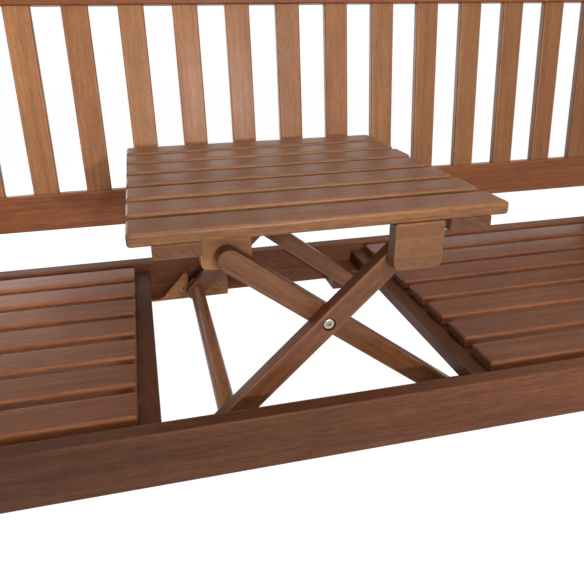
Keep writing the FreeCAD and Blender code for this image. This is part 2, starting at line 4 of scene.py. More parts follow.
import bpy
import numpy as np
from mathutils import Matrix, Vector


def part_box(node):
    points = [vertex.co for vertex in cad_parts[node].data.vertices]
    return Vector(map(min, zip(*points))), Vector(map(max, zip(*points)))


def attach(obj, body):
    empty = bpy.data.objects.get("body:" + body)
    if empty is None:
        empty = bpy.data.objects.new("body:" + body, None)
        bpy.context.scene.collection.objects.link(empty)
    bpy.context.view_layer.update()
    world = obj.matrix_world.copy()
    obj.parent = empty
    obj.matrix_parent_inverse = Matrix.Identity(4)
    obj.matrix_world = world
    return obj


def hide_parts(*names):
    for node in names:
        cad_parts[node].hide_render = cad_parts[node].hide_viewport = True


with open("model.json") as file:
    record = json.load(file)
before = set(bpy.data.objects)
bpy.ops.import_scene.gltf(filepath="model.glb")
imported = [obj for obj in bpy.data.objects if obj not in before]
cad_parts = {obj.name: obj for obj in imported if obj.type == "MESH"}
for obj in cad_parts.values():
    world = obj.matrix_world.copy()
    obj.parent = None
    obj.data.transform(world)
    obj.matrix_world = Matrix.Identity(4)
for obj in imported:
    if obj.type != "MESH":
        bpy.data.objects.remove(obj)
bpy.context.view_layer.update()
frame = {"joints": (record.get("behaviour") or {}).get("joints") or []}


# Front apron, rear seat rail and side rails: the rectangle of planed hardwood boards that carries the seats.
# Each is sawn from a plank, planed, and its arrises are broken with a small cutter before oiling.
MM = 0.001
ACROSS, DEPTHWISE, UPWARD = AXES = np.eye(3)
ARRIS_WIDTH = 1.6 * MM
ARRIS_LOOP = 30 * MM
FACING = 0.7
FRESH_STRETCH = 9
TONE_SPREAD = 0.35
TIMBER_CREASE = np.radians(38)
CUTTER_SIDES = 40


def rounded(points, radii, steps=5):
    """Loop of points in metres whose corner k is an arc of radii[k]. The arc touches both sides at
    radius / tan(half the corner's angle) from the corner, and its centre lies on the bisector."""
    points = np.asarray(points, float)
    radii = np.broadcast_to(np.asarray(radii, float), len(points))
    pieces = []
    for before, corner, after, radius in zip(np.roll(points, 1, 0), points, np.roll(points, -1, 0), radii):
        if radius <= 0:
            pieces.append(corner[None])
            continue
        to_before = (before - corner) / np.linalg.norm(before - corner)
        to_after = (after - corner) / np.linalg.norm(after - corner)
        bisector = (to_before + to_after) / np.linalg.norm(to_before + to_after)
        half = np.arccos(np.clip(to_before @ bisector, -1, 1))
        centre = corner + bisector * radius / np.sin(half)
        first = corner + to_before * radius / np.tan(half) - centre
        last = corner + to_after * radius / np.tan(half) - centre
        turn = np.arctan2(first[0] * last[1] - first[1] * last[0], first @ last)
        angle = np.linspace(0, turn, steps + 1)
        square_to_first = np.array([-first[1], first[0]])
        pieces.append(centre + np.outer(np.cos(angle), first) + np.outer(np.sin(angle), square_to_first))
    return np.concatenate(pieces)


def tube_faces(rings, around):
    """Faces of a closed skin over rings of points: each ring joins the next and both ends are filled."""
    grid = np.arange(rings * around).reshape(rings, around)
    beside = np.roll(grid, -1, 1)
    quads = np.stack([grid[:-1], beside[:-1], beside[1:], grid[1:]], -1).reshape(-1, 4)
    return quads.tolist() + [grid[0][::-1].tolist(), grid[-1].tolist()]


def planed(outline, length, ease, steps=4):
    """A closed solid: the outline carried along x from 0 to length. Towards each end it is drawn in along
    its normals by ease * (1 - sin t), while x stands ease * (1 - cos t) from the end, t from 0 to 90
    degrees. The ease is below each convex corner's radius, so that the ring at the end doesn't fold."""
    back = outline - np.roll(outline, 1, 0)
    ahead = np.roll(outline, -1, 0) - outline
    back /= np.linalg.norm(back, axis=1)[:, None]
    ahead /= np.linalg.norm(ahead, axis=1)[:, None]
    outward = np.stack([back[:, 1] + ahead[:, 1], -back[:, 0] - ahead[:, 0]], 1)
    outward /= 1 + np.sum(back * ahead, 1)[:, None]
    t = np.linspace(0, np.pi / 2, steps + 1) if ease else np.array([np.pi / 2])
    drawn_in = ease * (1 - np.sin(t))
    station = ease * (1 - np.cos(t)) if ease else np.zeros(1)
    drawn_in = np.concatenate([drawn_in, drawn_in[::-1]])
    station = np.concatenate([station, length - station[::-1]])
    section = outline[None] - outward[None] * drawn_in[:, None, None]
    rings, around = section.shape[:2]
    verts = np.empty((rings, around, 3))
    verts[..., 0] = station[:, None]
    verts[..., 1:] = section
    return verts.reshape(-1, 3), tube_faces(rings, around)


def linear(hex_colour):
    """An sRGB hex colour as linear red, green, blue and alpha."""
    channel = np.array([int(hex_colour[i:i + 2], 16) for i in (1, 3, 5)]) / 255
    channel = np.where(channel <= 0.04045, channel / 12.92, ((channel + 0.055) / 1.055) ** 2.4)
    return (*channel, 1.0)


def node(tree, kind, settings=None, **inputs):
    """Add one node to a tree, set its properties and fill its inputs with values or links. An input goes by
    its name, or by its number after an underscore."""
    made = tree.nodes.new(kind)
    for name, value in (settings or {}).items():
        setattr(made, name, value)
    for name, value in inputs.items():
        socket = made.inputs[int(name[1:])] if name[0] == "_" else made.inputs[name.replace("_", " ")]
        if isinstance(value, bpy.types.NodeSocket):
            tree.links.new(value, socket)
        else:
            socket.default_value = value
    return made


# The timber's figure: how far its growth lines slant, how far they wander, and the length along the board
# and width across it, in millimetres, of each kind of feature.
GROWTH_SLANT = np.radians(38)
WANDER = (300, 60)
WANDER_REACH = 9 * MM
BANDS = (420, 6)
STREAKS = (26, 1.5)
PORES = (9, 1.5)
CLOUDS = (110, 30)


def oiled_hardwood(name, dark, middle, light, roughness=0.5, pore_depth=0.2, contrast=0.24,
                   sides=(1.0, 1.0, 1.0), film=0.3):
    """Plantation hardwood, planed, sanded and given a satin oil varnish. It shows reddish brown bands along
    the board, fine darker streaks, short open pores, darker end grain and arrises painted paler, both for
    rubbed wear and as a painted highlight, under a thin film. Streaks and pores are drawn 1.5 mm wide,
    several times the real ones, so that they show. Sides are the strengths of red, green and blue on a
    board's narrow long faces: a painted light where above 1 and a painted shade where below, for how the
    lamps fall on those faces. Each board's own coordinates, tone and marked faces come from its mesh."""
    material = bpy.data.materials.new(name)
    material.use_nodes = True
    tree = material.node_tree
    shader = tree.nodes["Principled BSDF"]
    grain = node(tree, "ShaderNodeAttribute", {"attribute_name": "grain"}).outputs["Vector"]
    tone = node(tree, "ShaderNodeAttribute", {"attribute_name": "tone"}).outputs["Vector"]
    tone = node(tree, "ShaderNodeSeparateXYZ", Vector=tone).outputs
    worked_and_painted_light = node(tree, "ShaderNodeAttribute", {"attribute_name": "worked_and_painted_light"}).outputs["Vector"]
    worked_and_painted_light = node(tree, "ShaderNodeSeparateXYZ", Vector=worked_and_painted_light).outputs

    def figure(place, along, across, detail, output="Fac"):
        """Noise stretched along the board, with features of along by across millimetres. They are flat and
        lie slantwise in the board, so that an end shows slanting growth lines."""
        stretched = node(tree, "ShaderNodeMapping", {"vector_type": "TEXTURE"}, Vector=place)
        stretched.inputs["Rotation"].default_value = (GROWTH_SLANT, 0, 0)
        stretched.inputs["Scale"].default_value = (along * MM, across * MM, 4 * across * MM)
        return node(tree, "ShaderNodeTexNoise", Vector=stretched.outputs["Vector"], Scale=1.0, Detail=detail,
                    Roughness=0.55).outputs[output]

    def ranged(value, low, high, to_low, to_high):
        """A value mapped from one range to another and held there."""
        return node(tree, "ShaderNodeMapRange", Value=value, From_Min=low, From_Max=high, To_Min=to_low,
                    To_Max=to_high).outputs[0]

    wander = figure(grain, *WANDER, 1.0, "Color")
    lines = node(tree, "ShaderNodeVectorMath", {"operation": "MULTIPLY_ADD"}, _0=wander,
                 _1=(0.0, WANDER_REACH, WANDER_REACH), _2=grain).outputs["Vector"]
    bands = figure(lines, *BANDS, 2.0)
    streaks = figure(lines, *STREAKS, 2.0)
    pores = figure(grain, *PORES, 1.0)
    clouds = figure(grain, *CLOUDS, 2.0)
    mixed = node(tree, "ShaderNodeMath", {"operation": "MULTIPLY"}, _0=streaks, _1=0.5).outputs[0]
    mixed = node(tree, "ShaderNodeMath", {"operation": "MULTIPLY_ADD"}, _0=bands, _1=0.5,
                 _2=mixed).outputs[0]
    ramp = node(tree, "ShaderNodeValToRGB", Fac=mixed)
    ramp.color_ramp.elements.new(0.5)
    places = (0.5 - contrast, 0.5, 0.5 + contrast)
    for element, place, colour in zip(ramp.color_ramp.elements, places, (dark, middle, light)):
        element.position = place
        element.color = linear(colour)
    open_pore = ranged(pores, 0.3, 0.5, 1 - pore_depth, 1.0)
    strength = open_pore
    # End grain is darker. The arris strips are painted paler, for rubbed wear and as a painted highlight.
    for share in (ranged(clouds, 0.3, 0.7, 0.9, 1.1), ranged(tone[0], -4.0, 4.0, 0.2, 1.8),
                  ranged(worked_and_painted_light[0], 0.0, 1.0, 1.0, 0.6), ranged(worked_and_painted_light[1], 0.0, 1.0, 1.0, 1.22)):
        strength = node(tree, "ShaderNodeMath", {"operation": "MULTIPLY"}, _0=strength, _1=share).outputs[0]
    redder = node(tree, "ShaderNodeCombineXYZ", X=1.0, Y=ranged(tone[1], -1.0, 1.0, 1.04, 0.96),
                  Z=ranged(tone[1], -1.0, 1.0, 1.08, 0.92)).outputs[0]
    colour = node(tree, "ShaderNodeVectorMath", {"operation": "SCALE"}, _0=ramp.outputs["Color"],
                  Scale=strength).outputs["Vector"]
    colour = node(tree, "ShaderNodeVectorMath", {"operation": "MULTIPLY"}, _0=colour,
                  _1=redder).outputs["Vector"]
    # Painted light and shade: narrow long faces get their own red, green and blue, for how light falls.
    painted_side_light = node(tree, "ShaderNodeCombineXYZ", X=ranged(worked_and_painted_light[2], 0.0, 1.0, 1.0, sides[0]),
                     Y=ranged(worked_and_painted_light[2], 0.0, 1.0, 1.0, sides[1]),
                     Z=ranged(worked_and_painted_light[2], 0.0, 1.0, 1.0, sides[2])).outputs[0]
    colour = node(tree, "ShaderNodeVectorMath", {"operation": "MULTIPLY"}, _0=colour,
                  _1=painted_side_light).outputs["Vector"]
    tree.links.new(colour, shader.inputs["Base Color"])
    tree.links.new(ranged(clouds, 0.3, 0.7, roughness + 0.06, roughness - 0.06), shader.inputs["Roughness"])
    relief = node(tree, "ShaderNodeMath", {"operation": "MULTIPLY_ADD"}, _0=open_pore, _1=0.8,
                  _2=streaks).outputs[0]
    bump = node(tree, "ShaderNodeBump", Strength=0.3, Distance=0.1 * MM, Height=relief).outputs["Normal"]
    tree.links.new(bump, shader.inputs["Normal"])
    shader.inputs["Specular IOR Level"].default_value = 0.2
    shader.inputs["Coat Weight"].default_value = film
    shader.inputs["Coat Roughness"].default_value = 0.3
    return material


def mark_timber(piece, directions, origin, grain_axis, number, tone):
    """Write what the timber's pattern reads: the place along, across and through the board in a fresh
    stretch of timber, its brightness and redness, and which faces are end grain, arris strips or sides. The
    arris strips take a paler colour for wear and a painted highlight, and the sides take the material's
    painted light and shade. A pair of brightnesses runs from the board's first end to its last."""
    mesh = piece.data
    world = np.empty(len(mesh.vertices) * 3)
    mesh.vertices.foreach_get("co", world)
    world = world.reshape(-1, 3)
    local = np.roll((world - np.asarray(origin)) @ np.asarray(directions).T, -grain_axis, 1)
    draw = np.random.default_rng(number)
    shift = draw.uniform(0, FRESH_STRETCH, 3)
    span = (local[:, 0].min(), local[:, 0].max())
    tones = np.zeros((len(local), 3))
    along_tones = np.interp(local[:, 0], span, np.broadcast_to(tone, 2))
    tones[:, 0] = draw.uniform(-TONE_SPREAD, TONE_SPREAD) + along_tones
    tones[:, 1] = draw.uniform(-1, 1)
    count = len(mesh.polygons)
    normal, area, corners = np.empty(count * 3), np.empty(count), np.empty(count, int)
    mesh.polygons.foreach_get("normal", normal)
    mesh.polygons.foreach_get("area", area)
    mesh.polygons.foreach_get("loop_total", corners)
    edges, edge_of_corner = np.empty(len(mesh.edges) * 2, int), np.empty(len(mesh.loops), int)
    mesh.edges.foreach_get("vertices", edges)
    mesh.loops.foreach_get("edge_index", edge_of_corner)
    first, last = world[edges.reshape(-1, 2)].transpose(1, 0, 2)
    edge_length = np.linalg.norm(last - first, axis=1)
    starts = np.concatenate([[0], np.cumsum(corners)[:-1]])
    around = np.add.reduceat(edge_length[edge_of_corner], starts)
    facing_along = np.abs(normal.reshape(-1, 3) @ np.asarray(directions)[grain_axis])
    facing_across = np.abs(normal.reshape(-1, 3) @ np.asarray(directions)[(grain_axis + 1) % 3])
    marks = np.zeros((len(mesh.loops), 3))
    marks[:, 0] = np.repeat(facing_along > FACING, corners)
    marks[:, 1] = np.repeat((2 * area / around < ARRIS_WIDTH) & (around > ARRIS_LOOP), corners)
    marks[:, 2] = np.repeat(facing_across > FACING, corners)
    for label, domain, values in (("grain", "POINT", local + shift), ("tone", "POINT", tones),
                                  ("worked_and_painted_light", "CORNER", marks)):
        mesh.attributes.new(label, "FLOAT_VECTOR", domain)
        mesh.attributes[label].data.foreach_set("vector", values.astype(np.float32).ravel())


def drill(piece, holes):
    """Bore round, flat-bottomed holes: each is its mouth, the way into the wood, its radius and depth."""
    angle = np.linspace(0, 2 * np.pi, CUTTER_SIDES, endpoint=False)
    circle = np.stack([np.cos(angle), np.sin(angle)], 1)
    for mouth, inward, radius, depth in holes:
        side = UPWARD if abs(inward[2]) < 0.5 else ACROSS
        verts, faces = planed(circle * radius, depth + MM, 0)
        mesh = bpy.data.meshes.new("cutter")
        mesh.from_pydata(mouth - inward * MM + verts @ [inward, side, np.cross(inward, side)], [], faces)
        cutter = bpy.data.objects.new("cutter", mesh)
        bpy.context.scene.collection.objects.link(cutter)
        cut = piece.modifiers.new("bore", "BOOLEAN")
        cut.object = cutter
        cut.solver = "EXACT"
        graph = bpy.context.evaluated_depsgraph_get()
        piece.data = bpy.data.meshes.new_from_object(piece.evaluated_get(graph))
        piece.modifiers.remove(cut)
        bpy.data.objects.remove(cutter)


pieces_made = 0


def lay(name, shape, directions, origin, body, replaced, material, grain_axis=0, tone=0.0, holes=()):
    """Put a timber piece in place. Its local x, y and z run along the three directions from the origin."""
    global pieces_made
    pieces_made += 1
    verts, faces = shape
    mesh = bpy.data.meshes.new(name)
    mesh.from_pydata(np.asarray(origin) + verts @ np.asarray(directions, float), [], faces)
    piece = bpy.data.objects.new(name, mesh)
    bpy.context.scene.collection.objects.link(piece)
    drill(piece, holes)
    mark_timber(piece, directions, origin, grain_axis, pieces_made, tone)
    piece.data.polygons.foreach_set("use_smooth", np.ones(len(piece.data.polygons), bool))
    piece.data.set_sharp_from_angle(angle=TIMBER_CREASE)
    piece.modifiers.new("flat faces stay flat", "WEIGHTED_NORMAL").keep_sharp = True
    piece.data.materials.append(material)
    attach(piece, body)
    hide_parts(replaced)


def board(name, along, body, material, corner=2.5, ease=1.5, tone=0.0, holes=()):
    """A straight board that fills its node's box, with rounded arrises and eased ends, in millimetres."""
    low, high = (np.array(place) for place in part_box(name))
    first = "XYZ".index(along)
    order = [first, (first + 1) % 3, (first + 2) % 3]
    long, wide, thick = (high - low)[order]
    outline = rounded([(0, 0), (wide, 0), (wide, thick), (0, thick)], corner * MM)
    lay(f"{name}_timber", planed(outline, long, ease * MM), AXES[order], low, body, name, material,
        tone=tone, holes=holes)


frame_wood = oiled_hardwood("oiled frame hardwood", "#462516", "#633922", "#7B4B2B", roughness=0.55,
                            contrast=0.28, film=0.0)
board("front_apron", "X", "bench", frame_wood, tone=(-4.2, 1.6))
board("rear_seat_rail", "X", "bench", frame_wood, tone=(-0.6, 2.6))
for side in ("left", "right"):
    board(f"side_rail_{side}", "Y", "bench", frame_wood)


# Bearers: four short boards screwed between apron and rear rail. The slats lie on them, and the inner two
# stand out into the bay as the ledge on which the lowered table rests.
for bearer in ("outer_bearer_left", "inner_bearer_left", "inner_bearer_right", "outer_bearer_right"):
    board(bearer, "Y", "bench", frame_wood, corner=1.5, ease=0.5, tone=-0.8)


# Seat slats: seven a side, of the same hardwood, screwed down from below. Their arrises are rounded well over
# for the sitter and painted paler, for rubbed wear and as a painted highlight, and the left ones grow lighter
# towards the rear.
seat_wood = oiled_hardwood("sanded seat hardwood", "#582D1B", "#774426", "#8B5632")
for number in range(1, 8):
    for side, tone in (("left", 0.6 * number - 1.6), ("right", -0.3)):
        board(f"seat_slat_{side}_{number}", "X", "bench", seat_wood, corner=3.5, ease=3,
              tone=tone)


# Front legs: posts from the ground to the armrests, planed from the frame's hardwood and eased round each
# foot. Frame bolts go in through their outer and front faces, with the heads sunk just below the wood.
BOLT_SINK = 4.3 * MM
BOLT_MOUTH = 7.5 * MM
SIDE_BOLT_DROP = 16 * MM
apron_low, apron_high = (np.array(place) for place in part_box("front_apron"))
rail_height = (apron_low[2] + apron_high[2]) / 2
frame_heads = []
for side, outward in (("left", -1), ("right", 1)):
    low, high = (np.array(place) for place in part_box(f"front_leg_{side}"))
    rail_low, rail_high = (np.array(place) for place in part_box(f"side_rail_{side}"))
    outer = low[0] if outward < 0 else high[0]
    into_apron = np.array([outer, (apron_low[1] + apron_high[1]) / 2, rail_height])
    into_side_rail = np.array([(rail_low[0] + rail_high[0]) / 2, low[1], rail_height - SIDE_BOLT_DROP])
    mouths = [(into_apron, -outward * ACROSS), (into_side_rail, DEPTHWISE)]
    frame_heads += mouths
    board(f"front_leg_{side}", "Z", "bench", frame_wood, corner=3, ease=2,
          holes=[(mouth, inward, BOLT_MOUTH, BOLT_SINK) for mouth, inward in mouths])


# Rear posts: one plank each, upright to the seat and leaning back above it. The bend is bandsawn as a curve,
# and the bolts of the rails and of the back come in from the outer face.
LEG_DEPTH = 50 * MM
BEND_SWEEP = 220 * MM
TOP_ROUND = 9 * MM
ARRIS = 3 * MM
POST_EASE = 2.5 * MM
LOWER_RAIL_RISE = 62 * MM
LOWER_RAIL_HEIGHT = 58 * MM
TOP_RAIL_HEIGHT = 70 * MM
TOP_RAIL_DROP = 4 * MM
seat_top = apron_high[2]
post_low, post_high = (np.array(place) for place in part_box("rear_post_left"))
lean = post_high[1] - post_low[1] - LEG_DEPTH
rise = post_high[2] - seat_top
lower_joint = seat_top + LOWER_RAIL_RISE + LOWER_RAIL_HEIGHT / 2
upper_joint = post_high[2] - TOP_RAIL_DROP - TOP_RAIL_HEIGHT / 2
for side, outward in (("left", -1), ("right", 1)):
    low, high = (np.array(place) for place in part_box(f"rear_post_{side}"))
    outer = low[0] if outward < 0 else high[0]
    mouths = []
    for height in (rail_height, lower_joint, upper_joint):
        middle = low[1] + LEG_DEPTH / 2 + lean * max(height - seat_top, 0) / rise
        mouths.append((np.array([outer, middle, height]), -outward * ACROSS))
    frame_heads += mouths
    corners = [(0, 0), (LEG_DEPTH, 0), (LEG_DEPTH, seat_top), (LEG_DEPTH + lean, high[2]), (lean, high[2]),
               (0, seat_top)]
    outline = rounded(corners, [ARRIS, ARRIS, BEND_SWEEP, ARRIS, TOP_ROUND, BEND_SWEEP], steps=8)
    lay(f"rear_post_{side}_timber", planed(outline, high[0] - low[0], POST_EASE), AXES, low, "bench",
        f"rear_post_{side}", frame_wood, grain_axis=2,
        holes=[(mouth, inward, BOLT_MOUTH, BOLT_SINK) for mouth, inward in mouths])


# Armrests: flat boards with rounded noses. The rear end is cut to the post's lean, and the rim is eased all
# round.
ARM_NOSE = 18 * MM
ARM_CORNER = 5 * MM
ARM_EASE = 4 * MM
for side in ("left", "right"):
    low, high = (np.array(place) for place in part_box(f"armrest_{side}"))
    wide, long, thick = high - low
    outline = rounded([(0, 0), (wide, 0), (wide, long), (0, long)],
                      [ARM_NOSE, ARM_NOSE, ARM_CORNER, ARM_CORNER], steps=10)
    verts, faces = planed(outline, thick, ARM_EASE)
    verts[:, 2] -= (thick - verts[:, 0]) * lean / rise * np.clip(verts[:, 2] / long, 0, 1)
    lay(f"armrest_{side}_timber", (verts, faces), AXES[[2, 0, 1]], low, "bench", f"armrest_{side}",
        seat_wood, grain_axis=2)


# Back rest: two rails between the posts and seventeen upright slats mortised into them, all leaning as the
# posts do. Its slats are the lightest timber on the bench, and they darken towards the right.
BACK_RAIL_THICK = 23 * MM
BACK_SLAT_WIDTH = 38.5 * MM
BACK_SLAT_THICK = 14 * MM
BACK_SLATS = 17
BACK_RAIL_EASE = 0.5 * MM
BACK_SLAT_EASE = 0.3 * MM
FIRST_DARKER_SLAT = 8
DARKENING_SLATS = 5
DARKEST_TONE = -1.2
slope = np.hypot(lean, rise)
uphill = np.array([0, lean, rise]) / slope
backwards = np.array([0, rise, -lean]) / slope
bend = np.array([0, post_low[1] + LEG_DEPTH / 2, seat_top])
stretch = slope / rise
back_low = LOWER_RAIL_RISE * stretch
back_high = (rise - TOP_RAIL_DROP) * stretch
inner_left = post_high[0]
back_rail_wood = oiled_hardwood("oiled back rail hardwood", "#6C371C", "#894C28", "#9C6132", pore_depth=0.15)
for rail, start, height in (("back_lower_rail", back_low, LOWER_RAIL_HEIGHT),
                            ("back_top_rail", back_high - TOP_RAIL_HEIGHT, TOP_RAIL_HEIGHT)):
    outline = rounded([(0, 0), (BACK_RAIL_THICK, 0), (BACK_RAIL_THICK, height), (0, height)], ARRIS)
    origin = bend + uphill * start - backwards * BACK_RAIL_THICK / 2 + ACROSS * inner_left
    lay(f"{rail}_timber", planed(outline, -2 * inner_left, BACK_RAIL_EASE), [ACROSS, backwards, uphill],
        origin, "bench", rail, back_rail_wood)
# The slats' side faces are painted darker than their fronts: a painted shade.
back_wood = oiled_hardwood("oiled back slat hardwood", "#885330", "#A26A3F", "#B17C4C",
                           sides=(0.6, 0.55, 0.5))
slat_foot = back_low + LOWER_RAIL_HEIGHT
slat_length = back_high - TOP_RAIL_HEIGHT - slat_foot
slats_low, slats_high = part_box("back_slats")
pitch = (slats_high.x - slats_low.x - BACK_SLAT_WIDTH) / (BACK_SLATS - 1)
outline = rounded([(0, 0), (BACK_SLAT_WIDTH, 0), (BACK_SLAT_WIDTH, BACK_SLAT_THICK), (0, BACK_SLAT_THICK)],
                  ARRIS)
for number in range(BACK_SLATS):
    left_edge = slats_low.x + pitch * number
    origin = bend + uphill * slat_foot - backwards * BACK_SLAT_THICK / 2 + ACROSS * left_edge
    darkened = DARKEST_TONE * np.clip((number - FIRST_DARKER_SLAT) / DARKENING_SLATS, 0, 1)
    lay(f"back_slat_{number + 1}_timber", planed(outline, slat_length, BACK_SLAT_EASE),
        [uphill, ACROSS, backwards], origin, "bench", "back_slats", back_wood, tone=darkened)


# Table top: seven slats, a millimetre thinner than the seat's, on two battens that run front to back beneath
# them. They are screwed from below. Their front and back faces are painted lighter and yellower than their
# upper faces, a painted light for the lamps falling on those faces.
table_wood = oiled_hardwood("sanded table hardwood", "#57311D", "#76472A", "#895834",
                            sides=(1.14, 1.3, 1.15))
for number in range(1, 8):
    board(f"table_slat_{number}", "X", "table_top", table_wood, corner=3.8, ease=3.6,
          tone=(-1.0, 0.6) if number == 1 else 0.0)
for side, tone in (("left", 1.3), ("right", -0.3)):
    board(f"table_batten_{side}", "Y", "table_top", table_wood, corner=2.5, ease=2, tone=tone)


# Ear blocks: short offcuts fixed under the table's slats beside the battens, with rounded lower corners. The
# right pair turns on the outer legs' bolts, and the left pair steadies the inner legs' free ends.
EAR_CORNER = 8 * MM
EAR_ARRIS = 2.4 * MM
EAR_EASE = 2 * MM
ear_wood = oiled_hardwood("oiled ear block hardwood", "#734629", "#8A5935", "#99673E")
for side, tone in (("left", 1.0), ("right", -1.3)):
    for end in ("front", "rear"):
        low, high = (np.array(place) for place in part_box(f"{side}_ear_{end}"))
        wide, thick, tall = high - low
        outline = rounded([(0, 0), (tall, 0), (tall, wide), (0, wide)],
                          [EAR_CORNER, EAR_ARRIS, EAR_ARRIS, EAR_CORNER])
        lay(f"{side}_ear_{end}_timber", planed(outline, thick, EAR_EASE), AXES[[1, 2, 0]], low, "table_top",
            f"{side}_ear_{end}", ear_wood, grain_axis=2, tone=tone)


# Crossed legs: two outer and two inner legs of planed hardwood, bolted where they cross. The upper ends are
# half round, the lower ends are squared tails, and bolt heads sit in flat-bottomed counterbores.
LEG_WIDTH = 26 * MM
LEG_EASE = 2.2 * MM
INNER_TAIL = 25 * MM
OUTER_TAIL = 17 * MM
TAIL_CORNER = 8 * MM
SHANK_BORE = 4.08 * MM
joints = {joint["name"]: np.array(joint["pos_m"]) for joint in frame["joints"]}
lower_pivot = joints["inner_leg_fold"]
crossing = joints["crossing_fold"]
upper_pivot = joints["table_tilt"]
rod_low, rod_high = (np.array(place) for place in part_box("cross_rod"))
rod_middle = (rod_low + rod_high) / 2
# The legs' narrow edge faces are painted darker than their broad faces: a painted shade.
leg_wood = oiled_hardwood("oiled crossed leg hardwood", "#502D16", "#6D4124", "#805532",
                          sides=(0.68, 0.6, 0.6))


def leg_outline(tail, head):
    """A leg seen from its side, in metres along it: a half circle about the head's point, and at the tail a
    square end with round corners."""
    half = LEG_WIDTH / 2
    heading = np.sign(head - tail)
    angle = np.linspace(-np.pi / 2, np.pi / 2, 17)
    round_head = np.stack([head + heading * np.cos(angle) * half, heading * np.sin(angle) * half], 1)
    corners = [(head, heading * half), (tail, heading * half), (tail, -heading * half),
               (head, -heading * half)]
    squared_tail = rounded(corners, [0, TAIL_CORNER, TAIL_CORNER, 0])[1:-1]
    return np.concatenate([round_head, squared_tail])


def crossed_leg(name, tail, head, towards, body, recesses, bores):
    """A leg whose y runs from the crossing bolt towards a pivot. Recesses and bores are places along it, and
    each recess also says whether it opens on the front face."""
    low, high = (np.array(place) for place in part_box(name))
    direction = (towards - crossing) * (1, 0, 1)
    direction /= np.linalg.norm(direction)
    origin = np.array([crossing[0], low[1], crossing[2]])
    thick = high[1] - low[1]
    holes = [(origin + direction * place, DEPTHWISE, SHANK_BORE, thick + MM) for place in bores]
    for place, opens_front in recesses:
        mouth = origin + direction * place + DEPTHWISE * (0 if opens_front else thick)
        holes.append((mouth, DEPTHWISE if opens_front else -DEPTHWISE, BOLT_MOUTH, BOLT_SINK))
    lay(f"{name}_timber", planed(leg_outline(tail, head), thick, LEG_EASE),
        [DEPTHWISE, direction, np.cross(DEPTHWISE, direction)], origin, body, name, leg_wood,
        grain_axis=1, holes=holes)


to_lower = np.linalg.norm(lower_pivot - crossing)
to_upper = np.linalg.norm(upper_pivot - crossing)
to_rod = np.hypot(rod_middle[0] - crossing[0], rod_middle[2] - crossing[2])
to_free_end = (upper_pivot[2] - crossing[2]) / (crossing[2] - lower_pivot[2]) * to_lower
for end in ("front", "rear"):
    is_front = end == "front"
    crossed_leg(f"inner_leg_{end}", to_lower + INNER_TAIL, -to_free_end, lower_pivot, "inner_legs",
                recesses=[(0, not is_front)], bores=[0, to_lower])
    crossed_leg(f"outer_leg_{end}", -to_rod - OUTER_TAIL, to_upper, upper_pivot, "outer_legs",
                recesses=[(0, is_front), (to_upper, not is_front)], bores=[0, to_upper])


# Cross rod: a turned dowel through the lower ends of the outer legs. It drops into the cleats' notches, and
# like them it is of a paler timber than the legs.
ROD_EASE = 1.5 * MM
pale_wood = oiled_hardwood("oiled rod and cleat hardwood", "#734524", "#9B6236", "#B67E49")
rod_radius = (rod_high[0] - rod_low[0]) / 2
angle = np.linspace(0, 2 * np.pi, 36, endpoint=False)
round_outline = np.stack([np.cos(angle), np.sin(angle)], 1) * rod_radius
lay("cross_rod_timber", planed(round_outline, rod_high[1] - rod_low[1], ROD_EASE), AXES[[1, 2, 0]],
    (rod_middle[0], rod_low[1], rod_middle[2]), "outer_legs", "cross_rod", pale_wood)


# Cleats: sawn blocks screwed to apron and rear rail. A ramp leads the rod up to a peak, and behind it is the
# notch that holds the raised table. Two screws hold each, their heads sunk in its face.
NOTCH_PLAY = 0.6 * MM
CLEAT_PEAK = 52.5 * MM
RAMP_RUN = 47 * MM
TOE_INNER = 42 * MM
TOE_OUTER = 38 * MM
FLAT_THICK = 3.5 * MM
CLEAT_EASE = 1.3 * MM
CLEAT_CORNERS = np.array([1.6, 12, 4, 1, 1, 4, 4, 2, 1.6]) * MM
SCREW_RISE = 14 * MM
SCREW_INNER = 12 * MM
SCREW_OUTER = 24.5 * MM
SCREW_MOUTH = 4.6 * MM
SCREW_SINK = 2.5 * MM
cleat_heads = []
for end in ("front", "rear"):
    low, high = (np.array(place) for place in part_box(f"cleat_{end}"))
    wide, thick, _ = high - low
    wall = rod_middle[0] - rod_radius - NOTCH_PLAY - low[0]
    far_wall = rod_middle[0] + rod_radius + NOTCH_PLAY - low[0]
    floor = rod_low[2] - low[2]
    corners = [(FLAT_THICK, 0), (FLAT_THICK, wall - RAMP_RUN), (CLEAT_PEAK, wall), (floor, wall),
               (floor, far_wall), (TOE_INNER, far_wall), (TOE_OUTER, wide), (0, wide), (0, 0)]
    outline = rounded(corners, CLEAT_CORNERS)
    face, inward = (high[1], -DEPTHWISE) if end == "front" else (low[1], DEPTHWISE)
    mouths = [np.array([low[0] + x, face, low[2] + SCREW_RISE])
              for x in (wall - SCREW_INNER, far_wall + SCREW_OUTER)]
    cleat_heads += [(mouth, inward) for mouth in mouths]
    lay(f"cleat_{end}_timber", planed(outline, thick, CLEAT_EASE), AXES[[1, 2, 0]], low, "bench",
        f"cleat_{end}", pale_wood, grain_axis=2,
        holes=[(mouth, inward, SCREW_MOUTH, SCREW_SINK) for mouth in mouths])


# Pivot blocks: short thick blocks of the frame's hardwood on the apron and the rear rail, with one corner
# under the right inner bearer. The inner legs' lower bolts are screwed into them.
for end in ("front", "rear"):
    board(f"pivot_block_{end}", "X", "bench", frame_wood, corner=1.5, ease=1)


